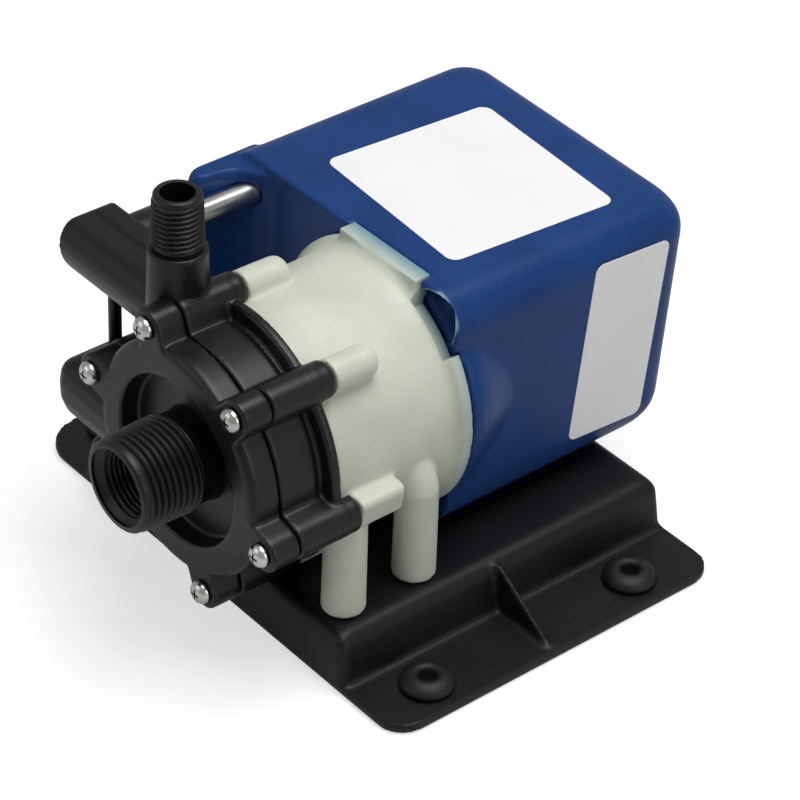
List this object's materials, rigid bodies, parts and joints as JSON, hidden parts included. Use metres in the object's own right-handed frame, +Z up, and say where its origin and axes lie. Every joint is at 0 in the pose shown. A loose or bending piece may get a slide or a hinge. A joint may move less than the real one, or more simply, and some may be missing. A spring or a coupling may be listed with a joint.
{
  "type": "magnetic-drive submersible pump",
  "caption": "Small magnetic-drive submersible pump: threaded inlet and outlet, screwed volute, bracket with posts, cast motor block, flanged base on rubber grommets.",
  "frame": {"origin": "centre of the base's footprint on the floor, below the box's centre", "axes": "+X across the base to the side nearer the pump axis, -Y out of the inlet, +Z up the outlet"},
  "size_m": [0.1544, 0.1657, 0.1211],
  "materials": {
    "black_plastic": "satin moulded black plastic",
    "base_plastic": "fine-grained black plastic",
    "pale_plastic": "translucent pale greenish plastic",
    "blue_epoxy": "semi-gloss cast blue epoxy",
    "rubber": "matt black rubber",
    "stainless": "plain stainless steel",
    "label_film": "white printed film, left blank",
    "magnet": "dark ferrite",
    "ceramic": "ground ivory ceramic",
    "lamination": "oiled sheet steel",
    "copper": "varnished copper winding",
    "bronze": "sintered bronze"
  },
  "bodies": {
    "pump": {"base_plate": "base_plastic", "base_grommet_1": "rubber", "base_grommet_2": "rubber", "base_grommet_3": "rubber", "base_grommet_4": "rubber", "base_screw_1": "stainless", "base_screw_2": "stainless", "base_screw_3": "stainless", "base_screw_4": "stainless", "pump_bracket": "pale_plastic", "motor_housing": "blue_epoxy", "front_cover": "black_plastic", "volute_casing": "black_plastic", "cover_screw_1": "stainless", "cover_screw_2": "stainless", "cover_screw_3": "stainless", "cover_screw_4": "stainless", "cover_screw_5": "stainless", "cover_screw_6": "stainless", "tube_coupling": "black_plastic", "cooling_tube": "stainless", "crossover_tube": "black_plastic", "top_label": "label_film", "side_label": "label_film", "casing_o_ring": "rubber", "containment_cup": "black_plastic", "spindle": "ceramic", "front_thrust_washer": "ceramic", "rear_thrust_washer": "ceramic", "front_bearing": "bronze", "rear_bearing": "bronze", "stator_core": "lamination", "stator_coil": "copper", "cable_gland": "rubber"},
    "motor_rotor": {"motor_shaft": "stainless", "rotor": "lamination", "drive_cup": "lamination", "drive_magnet": "magnet"},
    "impeller_rotor": {"impeller": "black_plastic", "impeller_magnet": "magnet", "impeller_bushing": "ceramic"}
  },
  "joints": [
    {"name": "motor_spin", "type": "hinge", "parent": "pump", "child": "motor_rotor", "pos_m": [0.0116, 0.02485, 0.0564], "axis": [0, 1, 0], "continuous": true},
    {"name": "impeller_spin", "type": "hinge", "parent": "pump", "child": "impeller_rotor", "pos_m": [0.0116, -0.03515, 0.0564], "axis": [0, 1, 0], "continuous": true}
  ],
  "couplings": [
    {"joint": "impeller_spin", "follows": "motor_spin", "ratio": 1}
  ]
}
